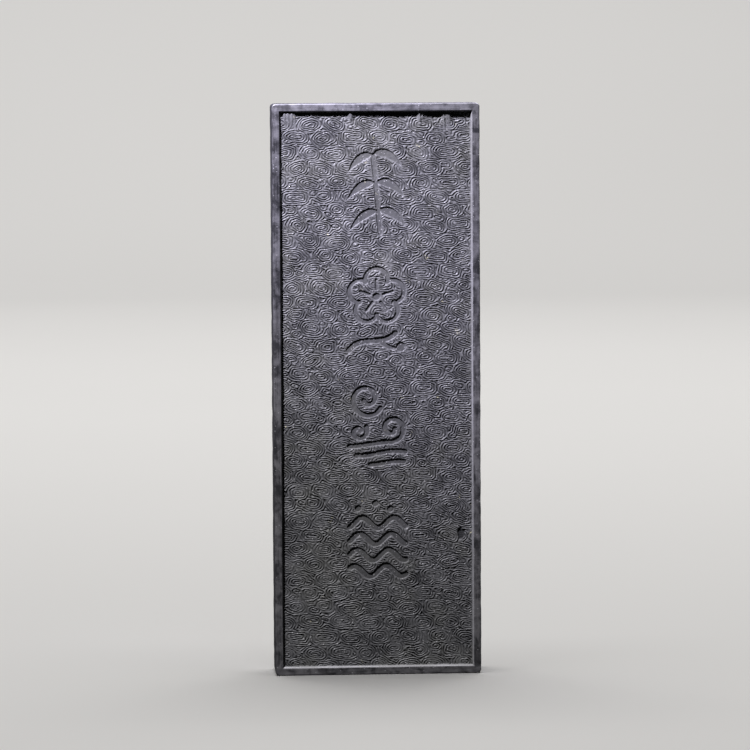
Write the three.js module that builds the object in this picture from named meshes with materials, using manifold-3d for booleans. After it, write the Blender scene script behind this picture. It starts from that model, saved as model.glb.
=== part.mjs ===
// A rectangular ink stick: one pressed cake of soot and glue, with its rim and four edges lacquered.
// Millimetres, +Z up. The origin is the middle of the end it stands on, and the front faces -Y.
import * as THREE from 'three';
import { mergeVertices } from 'three/addons/utils/BufferGeometryUtils.js';
import Module from 'manifold-3d';

// Driving dimensions
const width = 55;
const height = 152;
const thickness = 13.2;
const coat = 0.3; // lacquer, on every lacquered face
const border = 2; // plain rim round each field, measured from the outside
const recess = 1.2; // from the rim down to the field
const draft = 0.4; // how far the recess wall leans in over its depth

// Engraved ornaments, one above the other on the front field
const ornamentTop = 128.4; // height of the highest ornament's centre
const ornamentSpacing = 30.5;
const engraving = 0.3; // depth below the field
const strokeWidth = 1.6;
const fineStroke = 1.2;
const leafWidth = 2.3;

// Derived sizes
const halfWidth = width / 2;
const halfThickness = thickness / 2;
const cakeHalfWidth = halfWidth - coat;
const cakeHalfThickness = halfThickness - coat;
const fieldHalfWidth = halfWidth - border;
const fieldDepth = halfThickness - recess; // distance of each field from the mid-plane
const overshoot = 0.3; // how far a cutter stands out of the face that it cuts

const wasm = await Module();
wasm.setup();

const ink = () => new THREE.MeshStandardMaterial({ color: 0x1d1d1f, roughness: 0.62, metalness: 0 });
const lacquer = () => new THREE.MeshStandardMaterial({ color: 0x1c1d24, roughness: 0.38, metalness: 0 });

// Booleans

function solid(geometry) {
  const bare = geometry.clone();
  for (const name of Object.keys(bare.attributes)) {
    if (name !== 'position') bare.deleteAttribute(name);
  }
  const merged = mergeVertices(bare, 1e-5);
  return new wasm.Manifold(new wasm.Mesh({
    numProp: 3,
    vertProperties: new Float32Array(merged.attributes.position.array),
    triVerts: new Uint32Array(merged.index.array),
  }));
}

function named(name, body, material) {
  const mesh = body.getMesh();
  const geometry = new THREE.BufferGeometry();
  geometry.setAttribute('position', new THREE.BufferAttribute(mesh.vertProperties, 3));
  geometry.setIndex(new THREE.BufferAttribute(mesh.triVerts, 1));
  geometry.computeVertexNormals();
  const piece = new THREE.Mesh(geometry, material);
  piece.name = name;
  return piece;
}

// A block between two corners.
function block(low, high) {
  const size = high.map((value, axis) => value - low[axis]);
  const middle = high.map((value, axis) => (value + low[axis]) / 2);
  return solid(new THREE.BoxGeometry(...size).translate(...middle));
}

// Lines that the ornaments are drawn with: lists of THREE.Vector2, x across and y up.

function bezier(start, pullStart, pullEnd, end, steps = 10) {
  const points = [start, pullStart, pullEnd, end].map(([x, y]) => new THREE.Vector2(x, y));
  return new THREE.CubicBezierCurve(...points).getPoints(steps);
}

// A curve whose radius grows evenly from one end to the other. Angles are in degrees.
function spiral([x, y], radii, angles, steps) {
  return Array.from({ length: steps + 1 }, (_, i) => {
    const t = i / steps;
    const radius = THREE.MathUtils.lerp(...radii, t);
    const angle = THREE.MathUtils.degToRad(THREE.MathUtils.lerp(...angles, t));
    return new THREE.Vector2(x + radius * Math.cos(angle), y + radius * Math.sin(angle));
  });
}

const arc = (centre, radius, angles, steps = 12) => spiral(centre, [radius, radius], angles, steps);

// Outlines round those lines

function sideways(line, index) {
  const before = line[Math.max(index - 1, 0)];
  const after = line[Math.min(index + 1, line.length - 1)];
  const along = after.clone().sub(before).normalize();
  return new THREE.Vector2(-along.y, along.x);
}

// An even stroke with round ends.
function stroke(line, breadth = strokeWidth) {
  const radius = breadth / 2;
  const capSteps = 4;
  const cap = (point, across) => Array.from({ length: capSteps - 1 }, (_, i) => {
    const turn = -Math.PI * (i + 1) / capSteps;
    return across.clone().rotateAround(new THREE.Vector2(), turn).multiplyScalar(radius).add(point);
  });
  const side = (sign) => line.map((point, i) => sideways(line, i).multiplyScalar(sign * radius).add(point));
  const last = line.length - 1;
  return [
    ...side(1),
    ...cap(line[last], sideways(line, last)),
    ...side(-1).reverse(),
    ...cap(line[0], sideways(line, 0).negate()),
  ];
}

// A leaf: pointed at both ends and broadest just before the middle.
function leaf(line, breadth = leafWidth) {
  const last = line.length - 1;
  const half = (i) => breadth / 2 * Math.sin(Math.PI * (i / last) ** 0.8);
  const side = (sign) => line.map((point, i) => sideways(line, i).multiplyScalar(sign * half(i)).add(point));
  return [...side(1), ...side(-1).slice(1, last).reverse()];
}

const dot = (centre, radius) => arc(centre, radius, [0, -330], 11);

// Ornaments, each drawn round its own centre

function bambooSprig() {
  const joints = [[1.1, -11.4], [0.5, -4.4], [-0.1, 3.2], [-0.8, 10.4]];
  const gap = 0.07; // share of each stem length left uncut at a joint
  const stems = joints.slice(1).map((top, i) => {
    const [low, high] = [new THREE.Vector2(...joints[i]), new THREE.Vector2(...top)];
    return stroke([low.clone().lerp(high, gap), low.clone().lerp(high, 1 - gap)], fineStroke);
  });
  const leaves = [
    bezier([0.3, -4.9], [-1.8, -4.7], [-4.6, -6.2], [-7.2, -10.2]),
    bezier([0.6, -4.6], [3.0, -4.2], [5.6, -5.6], [7.8, -9.0]),
    bezier([-0.5, 2.6], [-2.6, 2.9], [-5.2, 1.6], [-7.8, -2.0]),
    bezier([0.2, 2.8], [2.4, 3.4], [5.0, 2.4], [7.4, -1.2]),
    bezier([-1.1, 10.0], [-3.0, 10.2], [-5.4, 8.8], [-7.4, 5.4]),
    bezier([-0.5, 10.4], [1.6, 11.2], [4.6, 10.2], [6.8, 6.8]),
  ];
  return [...stems, ...leaves.map((line) => leaf(line))];
}

function plumBlossom() {
  const petals = 5;
  const petalRadius = 3;
  const petalReach = 4.5; // from the flower's centre to a petal's centre
  const petalSweep = 103; // either side of its axis, to where it meets the next petal
  const heart = [0, 3];
  const outwards = (distance, angle) => {
    const turn = THREE.MathUtils.degToRad(angle);
    return [heart[0] + distance * Math.cos(turn), heart[1] + distance * Math.sin(turn)];
  };
  const shapes = [dot(heart, 1)];
  for (let i = 0; i < petals; i += 1) {
    const angle = 90 + 360 * i / petals;
    const rim = arc(outwards(petalReach, angle), petalRadius, [angle + petalSweep, angle - petalSweep], 14);
    const filament = [outwards(1.9, angle), outwards(petalReach, angle)];
    shapes.push(stroke(rim, fineStroke));
    shapes.push(stroke(filament.map((point) => new THREE.Vector2(...point)), 0.8));
  }
  const twig = bezier([-7.4, -11.2], [-4.2, -6.8], [1.0, -10.6], [4.9, -6.8]);
  const spur = bezier([0.4, -8.6], [1.8, -9.6], [3.2, -10.6], [4.6, -10.8], 6);
  return [...shapes, stroke(twig), stroke(spur, fineStroke), dot([6.4, -10.4], 1.3)];
}

function cloudScroll() {
  const breadth = 1.4;
  const curls = [
    spiral([-2.7, 6.3], [0.9, 4.4], [-150, 272], 26),
    spiral([3.9, -1.6], [0.8, 3.6], [345, -92], 24),
    spiral([-4.9, -2.4], [0.6, 2.3], [20, 392], 18),
  ];
  const streaks = [
    bezier([-2.5, 1.9], [-0.8, 1.9], [0.2, 2.6], [0.9, 3.8], 6),
    bezier([3.8, -5.2], [0.2, -5.2], [-3.4, -6.2], [-7.4, -6.3]),
    bezier([-5.6, -8.8], [-1.8, -9.2], [2.8, -6.9], [7.4, -7.9]),
    bezier([-1.8, -11.2], [1.0, -11.2], [4.0, -10.0], [7.0, -10.5], 8),
  ];
  return [...curls, ...streaks].map((line) => stroke(line, breadth));
}

function runningWater() {
  const rows = 4;
  const rowSpacing = 4.3;
  const lowest = -9.2;
  const lag = 0.55; // how far each row's waves run behind the row below, in radians
  const wave = { length: 8.4, rise: 1.4, reach: 7.4, steps: 26 };
  const crests = Array.from({ length: rows }, (_, row) => {
    const line = Array.from({ length: wave.steps + 1 }, (_unused, i) => {
      const x = -wave.reach + 2 * wave.reach * i / wave.steps;
      const rise = wave.rise * Math.sin(2 * Math.PI * x / wave.length - row * lag);
      return new THREE.Vector2(x, lowest + row * rowSpacing + rise);
    });
    return stroke(line);
  });
  const spray = [[-5.2, 7.6], [-0.6, 8.9], [3.4, 7.4]].map((centre) => dot(centre, 0.9));
  return [...crests, ...spray];
}

// An outline as a cutter that reaches from below the front field to just in front of it.
function engravingCutter(outline, centreHeight) {
  const depth = engraving + overshoot;
  const shape = new THREE.Shape(outline.map((point) => point.clone()));
  const geometry = new THREE.ExtrudeGeometry(shape, { depth, bevelEnabled: false, curveSegments: 1 });
  geometry.rotateX(Math.PI / 2); // the outline's y becomes z, and its depth runs towards -Y
  geometry.translate(0, engraving - fieldDepth, centreHeight);
  return solid(geometry);
}

// The tapered pocket over one field. side is -1 at the front and 1 at the back.
function fieldCutter(side) {
  const lean = draft / (cakeHalfThickness - fieldDepth);
  const outer = cakeHalfThickness + overshoot;
  const geometry = new THREE.BoxGeometry(1, 1, 1);
  const corners = geometry.attributes.position;
  for (let i = 0; i < corners.count; i += 1) {
    const y = corners.getY(i) > 0 ? outer : fieldDepth;
    const inwards = border + lean * (cakeHalfThickness - y);
    corners.setX(i, Math.sign(corners.getX(i)) * (halfWidth - inwards));
    corners.setZ(i, corners.getZ(i) > 0 ? height - inwards : inwards);
    corners.setY(i, y);
  }
  if (side < 0) geometry.rotateZ(Math.PI);
  return solid(geometry);
}

// Pieces

function inkCake() {
  let body = block(
    [-cakeHalfWidth, -cakeHalfThickness, coat],
    [cakeHalfWidth, cakeHalfThickness, height - coat],
  );
  body = body.subtract(fieldCutter(-1)).subtract(fieldCutter(1));
  [bambooSprig(), plumBlossom(), cloudScroll(), runningWater()].forEach((outlines, i) => {
    for (const outline of outlines) {
      body = body.subtract(engravingCutter(outline, ornamentTop - i * ornamentSpacing));
    }
  });
  return named('ink_cake', body, ink());
}

// The coat on a long edge: a channel over the side face and the rim on both faces, full height.
function longEdgeCoat(name, side) {
  const ordered = (a, b) => [Math.min(side * a, side * b), Math.max(side * a, side * b)];
  const [farLow, farHigh] = ordered(fieldHalfWidth, halfWidth);
  const [coreLow, coreHigh] = ordered(fieldHalfWidth - overshoot, cakeHalfWidth);
  const outside = block([farLow, -halfThickness, 0], [farHigh, halfThickness, height]);
  const inside = block(
    [coreLow, -cakeHalfThickness, -overshoot],
    [coreHigh, cakeHalfThickness, height + overshoot],
  );
  return named(name, outside.subtract(inside), lacquer());
}

// The coat on an end: a plate on the end face, with a rim strip on both faces between the long edges.
function endCoat(name, isTop) {
  const zRange = (a, b) => (isTop ? [height - b, height - a] : [a, b]);
  const [plateLow, plateHigh] = zRange(0, coat);
  const [rimLow, rimHigh] = zRange(0, border);
  const [coreLow, coreHigh] = zRange(coat, border + overshoot);
  const plate = block(
    [-cakeHalfWidth, -cakeHalfThickness, plateLow],
    [cakeHalfWidth, cakeHalfThickness, plateHigh],
  );
  const rim = block([-fieldHalfWidth, -halfThickness, rimLow], [fieldHalfWidth, halfThickness, rimHigh]);
  const core = block(
    [-halfWidth, -cakeHalfThickness, coreLow],
    [halfWidth, cakeHalfThickness, coreHigh],
  );
  return named(name, rim.subtract(core).add(plate), lacquer());
}

const inkStick = new THREE.Group();
inkStick.add(
  inkCake(),
  longEdgeCoat('left_edge_lacquer', -1),
  longEdgeCoat('right_edge_lacquer', 1),
  endCoat('bottom_edge_lacquer', false),
  endCoat('top_edge_lacquer', true),
);

export default inkStick;
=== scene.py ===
import math

import bpy
import numpy as np
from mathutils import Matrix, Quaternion, Vector
from mathutils.geometry import delaunay_2d_cdt
from mathutils.kdtree import KDTree


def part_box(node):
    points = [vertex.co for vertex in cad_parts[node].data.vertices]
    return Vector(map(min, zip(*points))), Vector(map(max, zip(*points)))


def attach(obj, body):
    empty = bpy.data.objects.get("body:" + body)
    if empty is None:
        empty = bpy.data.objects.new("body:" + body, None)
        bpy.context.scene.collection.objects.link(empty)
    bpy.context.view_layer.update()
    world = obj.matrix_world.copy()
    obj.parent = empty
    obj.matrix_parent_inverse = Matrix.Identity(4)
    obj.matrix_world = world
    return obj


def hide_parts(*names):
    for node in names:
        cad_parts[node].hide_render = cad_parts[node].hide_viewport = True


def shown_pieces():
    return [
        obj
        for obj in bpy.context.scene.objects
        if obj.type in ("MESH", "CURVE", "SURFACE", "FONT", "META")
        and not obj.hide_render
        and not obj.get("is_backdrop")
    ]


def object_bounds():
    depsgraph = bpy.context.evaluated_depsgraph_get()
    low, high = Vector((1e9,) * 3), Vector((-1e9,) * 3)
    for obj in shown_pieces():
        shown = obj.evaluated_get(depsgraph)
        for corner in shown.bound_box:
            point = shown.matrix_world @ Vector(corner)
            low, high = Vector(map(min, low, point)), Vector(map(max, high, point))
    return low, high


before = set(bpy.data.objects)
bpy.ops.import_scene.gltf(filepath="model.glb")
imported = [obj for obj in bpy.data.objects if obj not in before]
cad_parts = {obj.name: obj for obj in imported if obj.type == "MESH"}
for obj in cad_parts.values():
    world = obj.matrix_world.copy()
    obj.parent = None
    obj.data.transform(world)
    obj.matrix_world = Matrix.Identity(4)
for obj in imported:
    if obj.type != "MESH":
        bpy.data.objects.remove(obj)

# The ink stick stands on its bottom end, with the engraved front facing -Y. Lengths are in metres.
MM = 0.001
CAD_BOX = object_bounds()
WIDTH = CAD_BOX[1].x - CAD_BOX[0].x
HEIGHT = CAD_BOX[1].z - CAD_BOX[0].z
HALF_THICKNESS = CAD_BOX[1].y
COAT = CAD_BOX[1].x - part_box("ink_cake")[1].x
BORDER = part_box("left_edge_lacquer")[1].x - CAD_BOX[0].x
RECESS = 1.2 * MM
DRAFT = 0.4 * MM
FIELD_DEPTH = HALF_THICKNESS - RECESS
FIELD_INSET = BORDER + DRAFT
FIELD_HALF = WIDTH / 2 - FIELD_INSET
FIELD_TOP = HEIGHT - FIELD_INSET

# Whorl ground of both fields
FRONT_PITCH, FRONT_GAP = 0.59 * MM, 0.18 * MM    # line spacing, least spacing of points along it
BACK_PITCH, BACK_GAP = 0.68 * MM, 0.32 * MM
FRONT_SEED, BACK_SEED = 21, 57
LINE_RELIEF = 0.49              # from valley to crest, as a share of the line spacing
WHORL_WIDTH = 7.4 * MM
WHORL_HEIGHT = 3.9 * MM
WHORL_TILT, TILT_SPREAD = -0.08, 0.15
RING_FLATNESS = (0.84, 1.13)    # a ring's distances are scaled by these across and upwards
CURL_SHARE = 0.75               # how many of the spaces between whorls hold a small curl
RING_WOBBLE = 0.035             # how far a ring strays, as a share of its distance from the middle
WHORL_BLEND = 0.1 * MM          # how softly neighbouring whorls meet
SLACK_SLOPE = 0.6               # ground is slack where fewer lines than this pass in one spacing,
SLACK_HEIGHT = 0.85             # and lies within this of mid height: crests are at 1, valleys at -1
SLACK_CLEARANCE = 0.17          # least distance of slack points from lines, as a share of the spacing
SAMPLE = 0.125 * MM             # grid on which the lines are found
EDGE_MARGIN = 0.12 * MM         # no line comes closer to the field's outline

# Marks of age on the front field
PIT_PLACE = (22.3 * MM, 37.5 * MM)
PIT_RADIUS = 1.15 * MM          # half its width
PIT_STRETCH = 1.5               # height over width
PIT_DEPTH = 0.4 * MM
SMEARS = ((-22.9 * MM, 1.4 * MM, 5.5 * MM), (-6.7 * MM, 0.4 * MM, 3.2 * MM),
          (11.8 * MM, 0.6 * MM, 4.2 * MM), (18.6 * MM, 1.0 * MM, 6.5 * MM))   # x, half width, length
SMEAR_RISE = 0.55 * MM
TOP_TILT = 0.22 * MM            # how much deeper the field's top right is than its top middle
TOP_DIP = 0.12 * MM             # how much deeper its top is than its middle
LEFT_DIP = 0.3 * MM             # how much deeper its left edge is than its middle, at half height

# Dark band painted across the right rim of the front
DARK_BAND_HEIGHT, DARK_BAND_LENGTH = 144.7 * MM, 1.2 * MM
DARK_BAND_REACH = 0.7 * MM           # how far back from the front it is seen
DARK_BAND_FADE = (0.6, 0.45)         # shares of its length, up and down from its middle, where it fades
DARK_BAND_STRENGTH = 0.75            # share of the lacquer's colour that it covers

# Engraved ornaments; the strokes are in millimetres, as their lines are
ORNAMENT_TOP = 128.4 * MM
ORNAMENT_SPACING = 30.5 * MM
ENGRAVING = 0.3 * MM
STROKE = 1.6
FINE_STROKE = 1.2
LEAF = 2.3
LIP = 0.05 * MM                 # rounded edge outside an engraved outline
WALL = 0.13 * MM                # breadth of the sloping wall inside it
CUT_MARGIN = LIP + 0.15 * MM    # no whorl line comes closer to an engraved outline
OUTLINE_GAP = 0.15 * MM         # least spacing of points along an engraved outline
FLOOR_GAP = 0.35 * MM           # least spacing of points on an engraved floor
FLOOR_MARGIN = 0.12 * MM        # no floor point comes closer to the foot of the wall
RELIEF_FADE = (0.1 * MM, 0.45 * MM)    # how far from an outline the lines begin, and are full
CUT_SHADE = 0.5                 # groove value on an engraved floor and at the foot of its wall, where it paints shade
NO_CUT = 10 * MM                # distance given where no ornament is near

# Ranges over which the lacquer's look changes
TONE_SPAN = (0.36, 0.64)        # of its tone, from dark to pale
ON_RIM = (0.05, 0.35)           # of its wear, from the outer sides to the rims

# Points along a short and a long side of each loop round the face
LOOP_WIDTH, LOOP_HEIGHT = 110, 320


# ---------------------------------------------------------------- small helpers

def ripple(points, wavelength, seed, waves=14):
    """Smooth noise of about unit spread: plane waves of similar length in random directions."""
    rng = np.random.default_rng(seed)
    points = np.asarray(points, float)
    total = np.zeros(points.shape[:-1])
    for _ in range(waves):
        direction = rng.normal(size=points.shape[-1])
        direction *= 2 * math.pi / (wavelength * rng.uniform(0.7, 1.5) * np.linalg.norm(direction))
        total += np.cos(points @ direction + rng.uniform(0, 2 * math.pi))
    return total / math.sqrt(waves / 2)


def smooth_min(a, b, blend):
    """The smaller of the two, rounded off where they are within blend of each other."""
    share = np.clip(0.5 + 0.5 * (b - a) / blend, 0, 1)
    return b * (1 - share) + a * share - blend * share * (1 - share)


def smooth_step(low, high, value):
    """0 where the value is at low or past it, 1 at high or past it, and eased in between."""
    t = np.clip((value - low) / (high - low), 0, 1)
    return t * t * (3 - 2 * t)


def mesh_object(name, vertices, faces, material):
    mesh = bpy.data.meshes.new(name)
    mesh.from_pydata([tuple(v) for v in vertices], [], faces)
    mesh.validate()
    mesh.materials.append(material)
    obj = bpy.data.objects.new(name, mesh)
    bpy.context.scene.collection.objects.link(obj)
    return obj


# ---------------------------------------------------------------- ornament lines, in millimetres

def bezier(start, pull_start, pull_end, end, steps=14):
    t = np.linspace(0, 1, steps + 1)[:, None]
    a, b, c, d = (np.array(p, float) for p in (start, pull_start, pull_end, end))
    return (1 - t) ** 3 * a + 3 * (1 - t) ** 2 * t * b + 3 * (1 - t) * t ** 2 * c + t ** 3 * d


def spiral(centre, radii, angles, steps):
    """Points round a centre, from one radius and angle in degrees to another."""
    radius = np.linspace(*radii, steps + 1)
    angle = np.radians(np.linspace(*angles, steps + 1))
    return np.stack([centre[0] + radius * np.cos(angle), centre[1] + radius * np.sin(angle)], 1)


def stroke(line, breadth=STROKE):
    """A line with the half width at each of its points."""
    line = np.array(line, float)
    return line, np.full(len(line), breadth / 2)


def leaf(line, breadth=LEAF):
    share = np.linspace(0, 1, len(line))
    return line, breadth / 2 * np.sin(math.pi * share ** 0.8)


def dot(centre, radius):
    return stroke([centre, (centre[0] + 0.01, centre[1])], 2 * radius)


def bamboo_sprig():
    joints = np.array([(1.1, -11.4), (0.5, -4.4), (-0.1, 3.2), (-0.8, 10.4)])
    gap = 0.07
    lines = [stroke([low + (high - low) * gap, high - (high - low) * gap], FINE_STROKE)
             for low, high in zip(joints[:-1], joints[1:])]
    leaves = [
        bezier((0.3, -4.9), (-1.8, -4.7), (-4.6, -6.2), (-7.2, -10.2)),
        bezier((0.6, -4.6), (3.0, -4.2), (5.6, -5.6), (7.8, -9.0)),
        bezier((-0.5, 2.6), (-2.6, 2.9), (-5.2, 1.6), (-7.8, -2.0)),
        bezier((0.2, 2.8), (2.4, 3.4), (5.0, 2.4), (7.4, -1.2)),
        bezier((-1.1, 10.0), (-3.0, 10.2), (-5.4, 8.8), (-7.4, 5.4)),
        bezier((-0.5, 10.4), (1.6, 11.2), (4.6, 10.2), (6.8, 6.8)),
    ]
    return lines + [leaf(line) for line in leaves]


def plum_blossom():
    petals, petal_radius, petal_reach, petal_sweep = 5, 3, 4.5, 103
    heart = (0, 3)

    def outwards(distance, angle):
        turn = math.radians(angle)
        return heart[0] + distance * math.cos(turn), heart[1] + distance * math.sin(turn)

    lines = [dot(heart, 1)]
    for i in range(petals):
        angle = 90 + 360 * i / petals
        sweep = (angle + petal_sweep, angle - petal_sweep)
        rim = spiral(outwards(petal_reach, angle), (petal_radius, petal_radius), sweep, 20)
        lines.append(stroke(rim, FINE_STROKE))
        lines.append(stroke([outwards(1.9, angle), outwards(petal_reach, angle)], 0.8))
    twig = bezier((-7.4, -11.2), (-4.2, -6.8), (1.0, -10.6), (4.9, -6.8))
    spur = bezier((0.4, -8.6), (1.8, -9.6), (3.2, -10.6), (4.6, -10.8), 8)
    return lines + [stroke(twig), stroke(spur, FINE_STROKE), dot((6.4, -10.4), 1.3)]


def cloud_scroll():
    curls = [
        spiral((-2.7, 6.3), (0.9, 4.4), (-150, 272), 36),
        spiral((3.9, -1.6), (0.8, 3.6), (345, -92), 34),
        spiral((-4.9, -2.4), (0.6, 2.3), (20, 392), 28),
    ]
    streaks = [
        bezier((-2.5, 1.9), (-0.8, 1.9), (0.2, 2.6), (0.9, 3.8), 8),
        bezier((3.8, -5.2), (0.2, -5.2), (-3.4, -6.2), (-7.4, -6.3)),
        bezier((-5.6, -8.8), (-1.8, -9.2), (2.8, -6.9), (7.4, -7.9)),
        bezier((-1.8, -11.2), (1.0, -11.2), (4.0, -10.0), (7.0, -10.5)),
    ]
    return [stroke(line, 1.4) for line in curls + streaks]


def running_water():
    rows, row_spacing, lowest, lag = 4, 4.3, -9.2, 0.55
    length, rise, reach = 8.4, 1.4, 7.4
    x = np.linspace(-reach, reach, 41)
    lines = []
    for row in range(rows):
        wave = rise * np.sin(2 * math.pi * x / length - row * lag)
        lines.append(stroke(np.stack([x, lowest + row * row_spacing + wave], 1)))
    return lines + [dot(centre, 0.9) for centre in ((-5.2, 7.6), (-0.6, 8.9), (3.4, 7.4))]


def distance_to_ornaments(x, z):
    """Distance outside the nearest engraved outline, in metres, and negative inside one."""
    nearest = np.full(x.shape, NO_CUT)
    for row, ornament in enumerate((bamboo_sprig, plum_blossom, cloud_scroll, running_water)):
        centre = np.array([0, ORNAMENT_TOP - row * ORNAMENT_SPACING])
        for line, half in ornament():
            line = line * MM + centre
            half = half * MM
            low, high = line.min(0) - 3 * MM, line.max(0) + 3 * MM
            rows = slice(*np.searchsorted(z[:, 0], (low[1], high[1])))
            columns = slice(*np.searchsorted(x[0], (low[0], high[0])))
            near_x, near_z = x[rows, columns], z[rows, columns]
            for a, b, half_a, half_b in zip(line[:-1], line[1:], half[:-1], half[1:]):
                along = b - a
                dx, dz = near_x - a[0], near_z - a[1]
                t = np.clip((dx * along[0] + dz * along[1]) / (along @ along), 0, 1)
                from_line = np.hypot(dx - t * along[0], dz - t * along[1])
                gap = from_line - (half_a + t * (half_b - half_a))
                nearest[rows, columns] = np.minimum(nearest[rows, columns], gap)
    return nearest


# ---------------------------------------------------------------- whorl ground

def whorl_phase(x, z, pitch, seed):
    """Counts the carved lines: a whole number on each crest, and a half on each valley.
    Each whorl is a family of rings round a short level core, some of them wound into spirals."""
    rng = np.random.default_rng(seed)
    distance = np.full(x.shape, 20 * MM)
    winding = np.ones(x.shape, complex)
    reach = 9 * MM
    row_positions = np.arange(z.min() - WHORL_HEIGHT, z.max() + WHORL_HEIGHT, WHORL_HEIGHT)
    column_positions = np.arange(x.min() - WHORL_WIDTH, x.max() + WHORL_WIDTH, WHORL_WIDTH)
    # each whorl: x and z of its middle, half its core's length, and a distance added to its rings
    whorls = []
    for row, row_z in enumerate(row_positions):
        for column_x in column_positions + (row % 2) * WHORL_WIDTH / 2:
            centre_x = column_x + rng.uniform(-0.13, 0.13) * WHORL_WIDTH
            centre_z = row_z + rng.uniform(-0.18, 0.18) * WHORL_HEIGHT
            core, head_start = rng.uniform(0, 1.1) * MM, rng.uniform(-0.2, 0.2) * MM
            whorls.append((centre_x, centre_z, core, head_start))
            if rng.random() < CURL_SHARE:
                centre_x += rng.uniform(0.3, 0.7) * WHORL_WIDTH
                centre_z += rng.uniform(-0.3, 0.3) * WHORL_HEIGHT
                core, head_start = rng.uniform(0, 0.5) * MM, rng.uniform(0.7, 1.2) * MM
                whorls.append((centre_x, centre_z, core, head_start))
    for centre_x, centre_z, core, head_start in whorls:
        tilt = rng.normal(WHORL_TILT, TILT_SPREAD)
        squareness = rng.choice([1.7, 2.0, 2.0, 2.2, 3.2])
        lobes, lobe_turn = rng.integers(3, 7), rng.uniform(0, 2 * math.pi)
        spin = rng.choice([-1, 0, 0, 1])
        rows = slice(*np.searchsorted(z[:, 0], (centre_z - reach, centre_z + reach)))
        columns = slice(*np.searchsorted(x[0], (centre_x - reach, centre_x + reach)))
        dx, dz = x[rows, columns] - centre_x, z[rows, columns] - centre_z
        across = (dx * math.cos(tilt) + dz * math.sin(tilt)) * RING_FLATNESS[0]
        upwards = (dz * math.cos(tilt) - dx * math.sin(tilt)) * RING_FLATNESS[1]
        past_core = np.maximum(np.abs(across) - core, 0)
        ring = (past_core ** squareness + np.abs(upwards) ** squareness) ** (1 / squareness)
        ring *= 1 + RING_WOBBLE * np.cos(lobes * np.arctan2(upwards, across) + lobe_turn)
        nearest = smooth_min(distance[rows, columns], ring + head_start, WHORL_BLEND)
        distance[rows, columns] = nearest
        if spin:
            offset = (x - centre_x) + 1j * spin * (z - centre_z)
            winding *= offset / np.maximum(np.abs(offset), 1e-9)
    place = np.stack([x, z], -1)
    drift = 0.16 * ripple(place, 11 * MM, seed + 1) + 0.08 * ripple(place, 1.6 * MM, seed + 2)
    return distance / pitch + np.angle(winding) / (2 * math.pi) + drift


def sign_changes(values, x, z, companion):
    """Points on the grid's edges where values cross zero, with the companion's value at each."""
    found = []
    for axis in (0, 1):
        first = [slice(None)] * 2
        second = [slice(None)] * 2
        first[axis], second[axis] = slice(None, -1), slice(1, None)
        first, second = tuple(first), tuple(second)
        a, b = values[first], values[second]
        crossed = (a < 0) != (b < 0)
        share = a[crossed] / (a[crossed] - b[crossed])
        found.append(np.stack([
            layer[first][crossed] * (1 - share) + layer[second][crossed] * share
            for layer in (x, z, companion)
        ], 1))
    return np.concatenate(found)


def slack_points(phase, x, z, pitch):
    """Points where the count of lines hardly changes, in the middle of whorls and between them,
    with the line's height at each: 1 on a crest, -1 in a valley."""
    across = phase[1:-1, 2:] - phase[1:-1, :-2]
    upwards = phase[2:, 1:-1] - phase[:-2, 1:-1]
    slope = np.hypot(across - np.round(across), upwards - np.round(upwards)) / (2 * SAMPLE)
    height = np.cos(2 * math.pi * phase[1:-1, 1:-1])
    slack = (slope < SLACK_SLOPE / pitch) & (np.abs(height) < SLACK_HEIGHT)
    return np.stack([x[1:-1, 1:-1][slack], z[1:-1, 1:-1][slack], height[slack]], 1)


def apart(points, others, gap):
    """The points that are farther than gap from all the others."""
    tree = KDTree(len(others))
    for index, (x, z) in enumerate(others[:, :2].tolist()):
        tree.insert((x, z, 0), index)
    tree.balance()
    return points[[tree.find((x, z, 0))[2] > gap for x, z in points[:, :2].tolist()]]


def thinned(points, gap, seed=3):
    """A subset of the points in which no two are closer than gap."""
    points = points[np.random.default_rng(seed).permutation(len(points))]
    cells = np.floor(points[:, :2] / gap).astype(int)
    kept = {}
    chosen = []
    for index, (x, z, column, row) in enumerate(
            zip(*points[:, :2].T.tolist(), *cells.T.tolist())):
        near = (kept.get((column + i, row + j)) for i in (-1, 0, 1) for j in (-1, 0, 1))
        if all(p is None or (p[0] - x) ** 2 + (p[1] - z) ** 2 > gap * gap for p in near):
            kept[column, row] = (x, z)
            chosen.append(index)
    return points[chosen]


def rectangle_loop(inset, depth):
    """Points round the stick's face at an inset from its outline, as (x, depth, z)."""
    half = WIDTH / 2 - inset
    low, high = inset, HEIGHT - inset
    t_width = np.linspace(-1, 1, LOOP_WIDTH, endpoint=False)
    t_height = np.linspace(0, 1, LOOP_HEIGHT, endpoint=False)
    bottom = np.stack([t_width * half, np.full(LOOP_WIDTH, low)], 1)
    right = np.stack([np.full(LOOP_HEIGHT, half), low + t_height * (high - low)], 1)
    top = np.stack([-t_width * half, np.full(LOOP_WIDTH, high)], 1)
    left = np.stack([np.full(LOOP_HEIGHT, -half), high - t_height * (high - low)], 1)
    ring = np.concatenate([bottom, right, top, left])
    return np.stack([ring[:, 0], np.full(len(ring), depth), ring[:, 1]], 1)


def smear_share(x, z):
    """1 in the smooth smears that run down from the top of the front field, and 0 outside them."""
    ragged = 0.8 * MM * ripple(x[..., None], 1.3 * MM, 61)
    share = np.zeros(np.shape(x))
    for centre, half, length in SMEARS:
        aslant = 0.08 * (FIELD_TOP - z)
        beside = smooth_step(half + 0.5 * MM, half - 0.2 * MM, np.abs(x - centre - aslant))
        below = smooth_step(FIELD_TOP - length, FIELD_TOP - 0.4 * length, z + ragged)
        share = np.maximum(share, beside * below)
    return share


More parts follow.
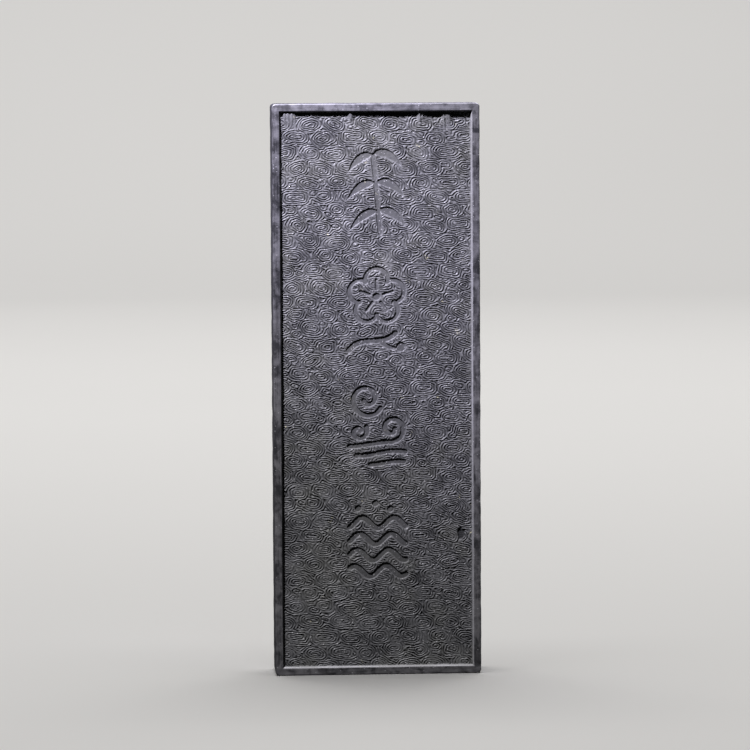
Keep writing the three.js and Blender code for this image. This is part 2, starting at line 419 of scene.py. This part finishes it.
def pit_share(x, z):
    """1 in the floor of the small pit in the front field, and 0 outside its ragged rim."""
    ragged = 0.12 * MM * ripple(np.stack([x, z], -1), 1.1 * MM, 67)
    from_pit = np.hypot(x - PIT_PLACE[0], (z - PIT_PLACE[1]) / PIT_STRETCH) + ragged
    return smooth_step(PIT_RADIUS, 0.7 * PIT_RADIUS, from_pit)


def ground_height(points, seed, front):
    """The field's level under its lines: slow waves, and on the front the marks of age."""
    x, z = points[:, 0], points[:, 1]
    height = 0.03 * MM * ripple(points[:, :2], 14 * MM, seed + 7)
    if front:
        tilted = TOP_DIP + TOP_TILT * x / FIELD_HALF
        height -= tilted * smooth_step(0.6 * HEIGHT, FIELD_TOP, z)
        on_left = smooth_step(-0.55 * FIELD_HALF, -FIELD_HALF, x)
        at_half_height = smooth_step(0.5 * HEIGHT, 0.25 * HEIGHT, np.abs(z - HEIGHT / 2))
        height -= LEFT_DIP * on_left * at_half_height
        smear = smear_share(x, z)
        height += smear * SMEAR_RISE * smooth_step(FIELD_TOP - 4.5 * MM, FIELD_TOP, z)
        streaks = ripple((x - 0.06 * (FIELD_TOP - z))[:, None], 0.8 * MM, seed + 17)
        height += smear * 0.11 * MM * streaks
        height -= PIT_DEPTH * pit_share(x, z)
    return height


def sample(values, points, columns, rows):
    """The grid's value nearest to each point."""
    i = np.clip(np.round((points[:, 1] - rows[0]) / SAMPLE).astype(int), 0, len(rows) - 1)
    j = np.clip(np.round((points[:, 0] - columns[0]) / SAMPLE).astype(int), 0, len(columns) - 1)
    return values[i, j]


def relief_strength(points, seed, front):
    """How strongly the lines stand out: unevenly, weakly in the pit, and hardly in the smears."""
    place = points[:, :2]
    strength = np.clip(0.86 + 0.2 * smooth_step(0.1 * HEIGHT, 0.5 * HEIGHT, points[:, 1])
                       + 0.15 * ripple(place, 7 * MM, seed + 11)
                       + 0.24 * ripple(place, 1.1 * MM, seed + 13), 0.2, 1.7)
    if front:
        strength *= 1 - 0.97 * smear_share(points[:, 0], points[:, 1])
        strength *= 1 - 0.7 * pit_share(points[:, 0], points[:, 1])
    return strength


def field(seed, front):
    """One field as (x, z, height) points and triangles, with how deep in a groove each point lies,
    up to 1 in a valley and 2 in the pit, and whether it is on a crease. Its outline comes first."""
    columns = np.arange(-FIELD_HALF, FIELD_HALF, SAMPLE)
    rows = np.arange(FIELD_INSET, FIELD_TOP, SAMPLE)
    x, z = np.meshgrid(columns, rows)
    pitch, gap = (FRONT_PITCH, FRONT_GAP) if front else (BACK_PITCH, BACK_GAP)
    phase = whorl_phase(x, z, pitch, seed)
    to_edge = np.minimum(FIELD_HALF - np.abs(x), np.minimum(z - FIELD_INSET, FIELD_TOP - z))
    to_cut = distance_to_ornaments(x, z) if front else np.full(x.shape, NO_CUT)

    lines = sign_changes(np.sin(2 * math.pi * phase), x, z, np.cos(2 * math.pi * phase))
    slack = apart(slack_points(phase, x, z, pitch), lines, SLACK_CLEARANCE * pitch)
    outline = rectangle_loop(FIELD_INSET, 0)[:, [0, 2, 1]]
    parts = [outline]
    depths = [np.zeros(len(outline))]
    for line in (lines[lines[:, 2] > 0], lines[lines[:, 2] < 0], slack):
        off_edge = sample(to_edge, line, columns, rows) > EDGE_MARGIN
        off_cut = sample(to_cut, line, columns, rows) > CUT_MARGIN
        line = thinned(line[off_edge & off_cut], gap)
        shown = smooth_step(*RELIEF_FADE, sample(to_cut, line, columns, rows))
        shown *= relief_strength(line, seed, front)
        depths.append(np.clip(shown * (1 - line[:, 2]) / 2, 0, 1))
        line[:, 2] *= LINE_RELIEF * pitch / 2 * shown
        parts.append(line)
    valleys_start, valleys_end = np.cumsum([len(part) for part in parts])[1:3]
    if front:
        for level, height in ((LIP, 0.02 * MM), (0, -0.06 * MM), (-WALL, -ENGRAVING)):
            contour = thinned(sign_changes(to_cut - level, x, z, x), OUTLINE_GAP)
            contour[:, 2] = height
            parts.append(contour)
        floor_start = sum(len(part) for part in parts)
        foot_start = floor_start - len(contour)
        inside = to_cut < -WALL - FLOOR_MARGIN
        floor = thinned(np.stack([x[inside], z[inside], x[inside]], 1), FLOOR_GAP)
        floor[:, 2] = -ENGRAVING + 0.03 * MM * ripple(floor[:, :2], 0.9 * MM, seed + 5)
        parts.append(floor)
    points = np.concatenate(parts)
    points[:, 2] += ground_height(points, seed, front)
    flat = [Vector(p) for p in (points[:, :2] / MM).tolist()]
    _, _, triangles, origins, _, _ = delaunay_2d_cdt(flat, [], [], 0, 1e-6)
    source = np.array([ids[0] for ids in origins])
    groove = np.zeros(len(points))
    depths = np.concatenate(depths)
    groove[:len(depths)] = depths
    creased = np.zeros(len(points), bool)
    creased[valleys_start:valleys_end] = True
    if front:
        creased[foot_start:floor_start] = True
        # painted shade: the groove value darkens the engraved floors, and the pit most
        groove[foot_start:] = CUT_SHADE
        groove = np.maximum(groove, 2 * pit_share(points[:, 0], points[:, 1]))
    return points, source[np.array(triangles)], groove, creased


# ---------------------------------------------------------------- materials

class Look:
    """A material's node tree, built with short calls. Its textures sit in the object's own space."""

    def __init__(self, name):
        self.material = bpy.data.materials.new(name)
        self.material.use_nodes = True
        self.tree = self.material.node_tree
        self.shader = self.tree.nodes["Principled BSDF"]
        self.place = self.add("ShaderNodeTexCoord").outputs["Object"]

    def add(self, kind, values=None, **settings):
        node = self.tree.nodes.new(kind)
        for setting, value in settings.items():
            setattr(node, setting, value)
        for socket, value in (values or {}).items():
            self.give(node.inputs[socket], value)
        return node

    def give(self, socket, value):
        if isinstance(value, bpy.types.NodeSocket):
            self.tree.links.new(value, socket)
        else:
            socket.default_value = value

    def noise(self, size, detail=3, stretch=(1, 1, 1), distortion=0):
        """Noise from 0 to 1, with features of about this size, drawn out by the stretch."""
        scale = [1 / (size * factor) for factor in stretch]
        place = self.add("ShaderNodeMapping", {"Vector": self.place, "Scale": scale}).outputs[0]
        return self.add("ShaderNodeTexNoise", {"Vector": place, "Scale": 1, "Detail": detail,
                                               "Distortion": distortion}).outputs[0]

    def cells(self, size):
        return self.add("ShaderNodeTexVoronoi", {"Vector": self.place, "Scale": 1 / size})

    def cell_tone(self, cells):
        """A random value from 0 to 1 for each cell."""
        return self.add("ShaderNodeSeparateColor", {"Color": cells.outputs["Color"]}).outputs[0]

    def spread(self, value, low, high, to_low=0, to_high=1):
        """The value eased from one range into another."""
        return self.add("ShaderNodeMapRange", {
            "Value": value, "From Min": low, "From Max": high, "To Min": to_low, "To Max": to_high,
        }, interpolation_type="SMOOTHSTEP").outputs[0]

    def math(self, operation, first, second):
        return self.add("ShaderNodeMath", {0: first, 1: second}, operation=operation).outputs[0]

    def blend(self, share, first, second):
        node = self.add("ShaderNodeMixRGB", {"Fac": share})
        for socket, colour in (("Color1", first), ("Color2", second)):
            self.give(node.inputs[socket], colour if hasattr(colour, "node") else (*colour, 1))
        return node.outputs[0]

    def specks(self, spacing, size, share):
        """Ragged dots, at most one to a cell of this spacing, in this share of the cells."""
        cells = self.cells(spacing)
        ragged = self.math("MULTIPLY", cells.outputs["Distance"],
                           self.spread(self.noise(0.5 * size), 0.3, 0.7, 0.6, 1.6))
        dots = self.spread(ragged, 0.5 * size / spacing, 0.25 * size / spacing)
        return self.math("MULTIPLY", dots, self.math("LESS_THAN", self.cell_tone(cells), share))

    def attribute(self, name):
        return self.add("ShaderNodeAttribute", attribute_name=name).outputs["Fac"]

    def bump(self, height, distance, normal=None):
        node = self.add("ShaderNodeBump", {"Height": height, "Distance": distance, "Strength": 1})
        if normal:
            self.give(node.inputs["Normal"], normal)
        return node.outputs[0]

    def finish(self, colour, roughness, normal=None):
        self.give(self.shader.inputs["Base Color"], colour)
        self.give(self.shader.inputs["Roughness"], roughness)
        if normal:
            self.give(self.shader.inputs["Normal"], normal)
        return self.material


def ink_look():
    """Pressed soot and glue: nearly matt, uneven in tone, with painted shade in the lines, on the
    engraved floors and in the pit, a painted highlight on the walls facing the lamp, and dust and
    gilt.
    """
    look = Look("pressed_ink")
    patches = look.noise(7 * MM, detail=4)
    grain = look.noise(0.28 * MM, detail=2)
    smears = look.noise(0.8 * MM, stretch=(1, 1, 6))
    tone = look.math("ADD", look.math("MULTIPLY", patches, 0.5),
                     look.math("ADD", look.math("MULTIPLY", grain, 0.3),
                               look.math("MULTIPLY", smears, 0.2)))
    colour = look.blend(look.spread(tone, 0.34, 0.66), (0.0245, 0.0247, 0.0252),
                        (0.0565, 0.0565, 0.057))
    groove = look.attribute("groove")
    # paler on the crests and the level ground, away from the valleys, in patches
    rub_and_highlight = look.math("MULTIPLY", look.spread(groove, 0.4, 0.05),
                       look.spread(patches, 0.3, 0.6, 0.15, 0.45))
    colour = look.blend(rub_and_highlight, colour, (0.086, 0.086, 0.087))
    # painted shade: the valleys of the lines and the engraved floors are darkened
    shaded = look.math("MULTIPLY", look.math("POWER", groove, 1.6), 0.83)
    colour = look.blend(shaded, colour, (0.006, 0.006, 0.007))
    # painted highlight: the lower and right walls, which face the lamp, are painted pale; the lips are
    # pale from wear
    wear_and_highlight = look.math("MULTIPLY", look.attribute("wear_and_highlight_share"), look.spread(grain, 0.3, 0.6, 0.6, 1))
    colour = look.blend(wear_and_highlight, colour, (0.3, 0.297, 0.3))
    dusty = look.spread(look.noise(9 * MM, detail=4), 0.46, 0.64, 0, 0.28)
    colour = look.blend(dusty, colour, (0.062, 0.062, 0.05))
    colour = look.blend(look.specks(0.7 * MM, 0.28 * MM, 0.55), colour, (0.27, 0.266, 0.262))
    gilt = look.math("MULTIPLY", look.spread(look.noise(0.35 * MM), 0.56, 0.6),
                     look.spread(look.noise(3.4 * MM), 0.7, 0.73))
    colour = look.blend(gilt, colour, (0.26, 0.245, 0.15))
    # painted shade: the pit is darkened nearly to black
    in_pit = look.spread(groove, 1, 1.8)
    colour = look.blend(look.math("MULTIPLY", in_pit, 0.95), colour, (0.005, 0.005, 0.006))
    roughness = look.spread(look.math("ADD", look.math("MULTIPLY", patches, 0.6),
                                      look.math("MULTIPLY", grain, 0.4)), 0.3, 0.7, 0.74, 0.6)
    roughness = look.math("ADD", roughness, look.math("MULTIPLY", in_pit, 0.25))
    fine = look.bump(look.noise(0.13 * MM, detail=2), 0.012 * MM)
    return look.finish(colour, roughness, look.bump(grain, 0.03 * MM, fine))


def lacquer_look():
    """Old lacquer: even and streaked on the outer edges, blotched on the rims, pale where abraded on
    the arrises, paler near the top, with painted fill light towards the bottom and a dark band across
    the right rim.
    """
    look = Look("edge_lacquer")
    blotches = look.noise(2.6 * MM, detail=4, distortion=0.7)
    coats = look.cell_tone(look.cells(10 * MM))
    across, depth, height = look.add("ShaderNodeSeparateXYZ", {"Vector": look.place}).outputs
    from_middle = look.math("ABSOLUTE", look.math("SUBTRACT", height, HEIGHT / 2), 0)
    on_ends = look.math("GREATER_THAN", from_middle, HEIGHT / 2 - BORDER)
    brush = look.blend(on_ends, look.noise(0.45 * MM, stretch=(1, 1, 12)),
                       look.noise(0.45 * MM, stretch=(12, 1, 1)))
    grain = look.noise(0.22 * MM, detail=2)
    wear_and_highlight_share = look.attribute("wear_and_highlight_share")
    fine = look.math("ADD", look.math("MULTIPLY", brush, 0.6), look.math("MULTIPLY", grain, 0.4))
    even = look.blend(look.spread(fine, 0.36, 0.64), (0.02, 0.02, 0.022), (0.031, 0.0305, 0.033))
    tone = look.math("ADD", look.math("ADD", look.math("MULTIPLY", blotches, 0.5),
                                      look.math("MULTIPLY", coats, 0.09)),
                     look.math("MULTIPLY", fine, 0.41))
    toned = look.spread(tone, *TONE_SPAN)
    blotched = look.blend(toned, (0.008, 0.008, 0.009), (0.056, 0.0545, 0.058))
    colour = look.blend(look.spread(wear_and_highlight_share, *ON_RIM, 0.12, 1), even, blotched)
    # painted fill light: the rims are painted paler towards the bottom, where the lamps fall off
    painted_fill_towards_bottom = look.math("MULTIPLY", look.spread(height, 0.8 * HEIGHT, 0.45 * HEIGHT, 0.03, 0.6),
                       look.spread(tone, *TONE_SPAN, 0.15, 1))
    colour = look.blend(painted_fill_towards_bottom, colour, (0.08, 0.078, 0.077))
    # paler near the top of the rims and on the top end, blotch by blotch
    near_top = look.spread(height, HEIGHT - 1.6 * BORDER, HEIGHT - 0.7 * BORDER)
    paler_near_top = look.math("MULTIPLY", look.spread(tone, *TONE_SPAN, 0.14, 0.4),
                        look.spread(wear_and_highlight_share, *ON_RIM, 0.2, 1))
    paler_near_top = look.math("MULTIPLY", near_top, paler_near_top)
    colour = look.blend(paler_near_top, colour, (0.13, 0.128, 0.135))
    # a dark band painted across the right rim, near the top of the front
    dark_band = look.spread(look.math("ABSOLUTE", look.math("SUBTRACT", height, DARK_BAND_HEIGHT), 0),
                       DARK_BAND_FADE[0] * DARK_BAND_LENGTH, DARK_BAND_FADE[1] * DARK_BAND_LENGTH)
    on_right_front = look.math("MULTIPLY", look.math("GREATER_THAN", across, WIDTH / 2 - BORDER),
                               look.math("LESS_THAN", depth, DARK_BAND_REACH - HALF_THICKNESS))
    dark_band_share = look.math("MULTIPLY", dark_band, look.math("MULTIPLY", on_right_front, DARK_BAND_STRENGTH))
    colour = look.blend(dark_band_share, colour, (0.006, 0.006, 0.008))
    wear_and_highlight = look.math("MULTIPLY", look.spread(wear_and_highlight_share, 0.4, 1),
                     look.spread(blotches, 0.3, 0.6, 0.3, 0.8))
    colour = look.blend(wear_and_highlight, colour, (0.13, 0.128, 0.135))
    colour = look.blend(look.specks(0.8 * MM, 0.3 * MM, 0.25), colour, (0.2, 0.2, 0.2))
    roughness = look.spread(tone, *TONE_SPAN, 0.36, 0.56)
    skin = look.bump(look.noise(0.9 * MM), 0.04 * MM)
    streaked = look.bump(brush, 0.02 * MM, look.bump(grain, 0.015 * MM, skin))
    return look.finish(colour, roughness, streaked)


ink = ink_look()
lacquer = lacquer_look()


# ---------------------------------------------------------------- pieces

def cake():
    vertices, faces, grooves, wear_and_highlight_share, creases = [], [], [], [], set()
    loop = 2 * (LOOP_WIDTH + LOOP_HEIGHT)
    starts = []
    for side, seed, front in ((-1, FRONT_SEED, True), (1, BACK_SEED, False)):
        points, triangles, groove, creased = field(seed, front)
        start = len(vertices)
        starts.append(start)
        depth = side * (FIELD_DEPTH + points[:, 2])
        vertices.extend(np.stack([points[:, 0], depth, points[:, 1]], 1).tolist())
        grooves.extend(groove.tolist())
        wear_and_highlight_share.extend([0] * len(points))
        if side > 0:
            triangles = triangles[:, ::-1]
        faces.extend((triangles + start).tolist())
        for a, b in ((0, 1), (1, 2), (2, 0)):
            both = creased[triangles[:, a]] & creased[triangles[:, b]]
            pairs = np.sort(triangles[both][:, [a, b]] + start, 1)
            creases.update(map(tuple, pairs.tolist()))

    def join(first, second):
        for i in range(loop):
            j = (i + 1) % loop
            faces.append((first + i, first + j, second + j, second + i))

    rim_depth = HALF_THICKNESS - COAT
    middle_depth = (FIELD_DEPTH + rim_depth) / 2
    # inset, depth, waver and paleness of each loop up the wall and in under the coat: wear at the lip,
    # painted highlight up the wall
    levels = [(BORDER + 0.5 * DRAFT, middle_depth, 0.05 * MM, 0.55), (BORDER, rim_depth, 0, 1),
              (COAT, rim_depth, 0, 0)]
    # painted highlight: the lower and right walls, which face the lamp, are painted pale, and the
    # other two hardly
    rub_and_highlight = np.repeat([1, 0.55, 0.15, 0.15], [LOOP_WIDTH, LOOP_HEIGHT] * 2)
    previous = starts[0]
    for side, order in ((-1, levels), (1, reversed(levels))):
        for inset, depth, waver, wear_and_highlight in order:
            ring = rectangle_loop(inset, side * depth)
            ring[:, 1] += waver * ripple(ring, 3 * MM, 83)
            join(len(vertices), previous)
            previous = len(vertices)
            vertices.extend(ring.tolist())
            wear_and_highlight_share.extend((wear_and_highlight * rub_and_highlight).tolist())
            grooves.extend([0] * loop)
    join(starts[1], previous)

    piece = mesh_object("ink_cake_body", vertices, faces, ink)
    mesh = piece.data
    mesh.shade_smooth()
    mesh.set_sharp_from_angle(angle=math.radians(62))
    sharp = mesh.attributes["sharp_edge"].data
    for edge in mesh.edges:
        if tuple(sorted(edge.vertices)) in creases:
            sharp[edge.index].value = True
    for name, values in (("groove", grooves), ("wear_and_highlight_share", wear_and_highlight_share)):
        mesh.attributes.new(name, "FLOAT", "POINT").data.foreach_set("value", values)
    return piece


def edge_profile():
    """The coat's section from the front lip round the outside to the back lip, then inside.
    Each point is (inset, depth, outward inset, outward depth, paleness from abrasion)."""
    arris, lip = 0.3 * MM, 0.14 * MM
    face = HALF_THICKNESS
    front = [(BORDER, face - COAT, 0, 0, 0)]
    for turn in np.radians(np.linspace(0, 90, 4)):
        across, out = math.cos(turn), math.sin(turn)
        front.append((BORDER - lip + lip * across, face - lip + lip * out, across, out, 0.6))
    for inset in np.linspace(BORDER - lip, arris, 9)[1:-1]:
        front.append((inset, face, 0, 1, 0.35))
    for turn in np.radians(np.linspace(90, 180, 6)):
        across, out = math.cos(turn), math.sin(turn)
        wear_and_highlight_share = 1 if 0.1 < out < 0.99 else 0.3
        front.append((arris + arris * across, face - arris + arris * out, across, out, wear_and_highlight_share))
    side = [(0, depth, -1, 0, 0) for depth in np.linspace(face - arris, -face + arris, 20)[1:-1]]
    back = [(inset, -depth, across, -out, wear_and_highlight_share)
            for inset, depth, across, out, wear_and_highlight_share in reversed(front)]
    inside = [(COAT, COAT - face, 0, 0, 0), (COAT, face - COAT, 0, 0, 0)]
    return front + side + back + inside


def unevenness(points):
    """How far the lacquer's skin lies inside its nominal surface."""
    wave = 0.022 * ripple(points, 5 * MM, 91) + 0.012 * ripple(points, 1.7 * MM, 92)
    return np.clip(0.04 + wave, 0, 0.11) * MM


def coat(name, corner_from, corner_to, rub_and_highlight):
    """The coat along one edge, mitred to its neighbours at both corners, and its arrises made paler
    by this share."""
    outer_radius, inner_radius, step = 1.0 * MM, 0.15 * MM, 0.5 * MM
    profile = np.array(edge_profile())
    low, high = np.array([-WIDTH / 2, 0]), np.array([WIDTH / 2, HEIGHT])
    corners = [np.array([low[0], low[1]]), np.array([high[0], low[1]]),
               np.array([high[0], high[1]]), np.array([low[0], high[1]])]
    middle = (low + high) / 2

    def arc(corner, inset, radius, angles):
        centre = corner + np.sign(middle - corner) * (inset + radius)
        return [centre + radius * np.array([math.cos(a), math.sin(a)]) for a in angles]

    def path(inset, radius):
        a, b = corners[corner_from], corners[corner_to]
        travel = math.atan2(b[1] - a[1], b[0] - a[0])
        outward = travel - math.pi / 2
        start = arc(a, inset, radius, np.linspace(outward - math.pi / 4, outward, 4))
        end = arc(b, inset, radius, np.linspace(outward, outward + math.pi / 4, 4))
        steps = int(np.linalg.norm(b - a) / step)
        run = [start[-1] + (end[0] - start[-1]) * t for t in np.linspace(0, 1, steps + 1)[1:-1]]
        return np.array(start + run + end)

    outer, inner = path(0, outer_radius), path(BORDER, inner_radius)
    across = (inner - outer)[:, None] / BORDER
    inset, depth, outward_inset, outward_depth, wear_and_highlight_share = profile.T
    section = outer[:, None] + across * inset[None, :, None]
    depths = np.broadcast_to(-depth, section.shape[:2])
    points = np.stack([section[..., 0], depths, section[..., 1]], -1)
    sunk = unevenness(points)
    points[..., [0, 2]] -= across * (outward_inset * sunk)[..., None]
    points[..., 1] += outward_depth * sunk
    around, count = len(profile), len(outer)
    faces = []
    for here in range(0, (count - 1) * around, around):
        ahead = here + around
        for i in range(around):
            j = (i + 1) % around
            faces.append((here + i, here + j, ahead + j, ahead + i))
    faces.append(tuple(reversed(range(around))))
    faces.append(tuple(range((count - 1) * around, count * around)))
    piece = mesh_object(name, points.reshape(-1, 3).tolist(), faces, lacquer)
    piece.data.shade_smooth()
    piece.data.set_sharp_from_angle(angle=math.radians(50))
    wear_and_highlight = piece.data.attributes.new("wear_and_highlight_share", "FLOAT", "POINT")
    wear_and_highlight.data.foreach_set("value", np.tile(np.where(wear_and_highlight_share > 0.6, wear_and_highlight_share * rub_and_highlight, wear_and_highlight_share), count))
    return piece


cake_body = cake()
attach(cake_body, "root")
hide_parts("ink_cake")

for node, corner_from, corner_to, rub_and_highlight in (
        ("bottom_edge_lacquer", 0, 1, 1), ("right_edge_lacquer", 1, 2, 0.5),
        ("top_edge_lacquer", 2, 3, 1), ("left_edge_lacquer", 3, 0, 0.35)):
    piece = coat(node.replace("lacquer", "coat"), corner_from, corner_to, rub_and_highlight)
    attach(piece, "root")
    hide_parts(node)


# ---------------------------------------------------------------- floor, light and camera

def sweep():
    """A pale floor that curves up into the backdrop behind the stick."""
    reach, back, bend = 3.0, 1.6, 0.9
    section = [(-reach, 0), (back, 0)]
    for turn in np.radians(np.linspace(0, 90, 13)[1:]):
        section.append((back + bend * math.sin(turn), bend - bend * math.cos(turn)))
    section.append((back + bend, 3.0))
    vertices = [(x, y, z) for x in (-reach, reach) for y, z in section]
    rows = len(section)
    faces = [(i, rows + i, rows + i + 1, i + 1) for i in range(rows - 1)]
    look = Look("floor")
    colour = look.blend(look.noise(0.4, detail=2), (0.8, 0.785, 0.765), (0.83, 0.815, 0.795))
    floor = mesh_object("floor", vertices, faces, look.finish(colour, 0.85))
    floor.data.shade_smooth()
    floor.visible_glossy = False
    floor.visible_diffuse = False
    floor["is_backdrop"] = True


def lamp_object(name, light, place, target):
    lamp = bpy.data.objects.new(name, light)
    lamp.location = place
    lamp.rotation_euler = (Vector(target) - Vector(place)).to_track_quat("-Z", "Y").to_euler()
    bpy.context.scene.collection.objects.link(lamp)
    return lamp


def area_light(name, place, target, size, power, colour):
    light = bpy.data.lights.new(name, "AREA")
    light.size = size
    light.energy = power
    light.color = colour
    return lamp_object(name, light, place, target)


def spot_light(name, place, target, radius, cone, power, colour):
    light = bpy.data.lights.new(name, "SPOT")
    light.shadow_soft_size = radius
    light.spot_size = math.radians(cone)
    light.spot_blend = 1
    light.energy = power
    light.color = colour
    return lamp_object(name, light, place, target)


def lights():
    world = bpy.data.worlds.new("studio")
    bpy.context.scene.world = world
    world.use_nodes = True
    background = world.node_tree.nodes["Background"]
    background.inputs["Color"].default_value = (0.95, 0.97, 1.0, 1)
    background.inputs["Strength"].default_value = 0.02
    overhead = area_light("overhead", (0, 0.4, 2.4), (0, 0.4, 0), size=2.4, power=54,
                          colour=(1, 1, 1))
    wash = area_light("backdrop_wash", (0, 0.9, 1.9), (0, 2.4, 0.9), size=1.6, power=16,
                      colour=(1, 1, 1))
    # a small, hard lamp at the upper left, and a narrow one in the same place for the upper half
    upper_left = (-0.132, -0.18, 0.385)
    key = spot_light("key", upper_left, (0, 0, 0.08), radius=0.012, cone=120, power=16.8,
                     colour=(0.98, 0.97, 1.03))
    key_core = spot_light("key_core", upper_left, (-0.0066, 0, 0.131), radius=0.012, cone=18.6,
                          power=17.4, colour=(0.86, 0.82, 1.17))
    back_key = spot_light("back_key", (0.3, 0.5, 0.5), (0, 0, 0.1), radius=0.05, cone=40, power=45,
                          colour=(0.86, 0.84, 1.0))
    # the floor would fill the black shadows under the rim, so the two are lit apart
    stick = bpy.data.collections.new("stick")
    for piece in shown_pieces():
        stick.objects.link(piece)
    for lamp in (key, key_core, back_key):
        lamp.light_linking.receiver_collection = stick
    ground = bpy.data.collections.new("ground")
    ground.objects.link(bpy.data.objects["floor"])
    wash.light_linking.receiver_collection = ground
    overhead.light_linking.receiver_collection = ground


def camera():
    aim = Vector((-0.17 * MM, 0, HEIGHT / 2 + 3.6 * MM))
    distance = 1.1
    azimuth, elevation, roll = (math.radians(angle) for angle in (-3.5, 4.7, -0.32))
    back = Vector((math.sin(azimuth) * math.cos(elevation), -math.cos(azimuth) * math.cos(elevation),
                   math.sin(elevation)))
    data = bpy.data.cameras.new("camera")
    data.lens = 198
    cam = bpy.data.objects.new("camera", data)
    cam.location = aim + back * distance
    cam.rotation_mode = "QUATERNION"
    cam.rotation_quaternion = (-back).to_track_quat("-Z", "Y") @ Quaternion((0, 0, 1), roll)
    bpy.context.scene.collection.objects.link(cam)
    bpy.context.scene.camera = cam


sweep()
lights()
camera()
bpy.context.scene.view_settings.view_transform = "Standard"

boxes = {"cad": CAD_BOX, "visual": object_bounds()}
{name: [list(corner) for corner in box] for name, box in boxes.items()}
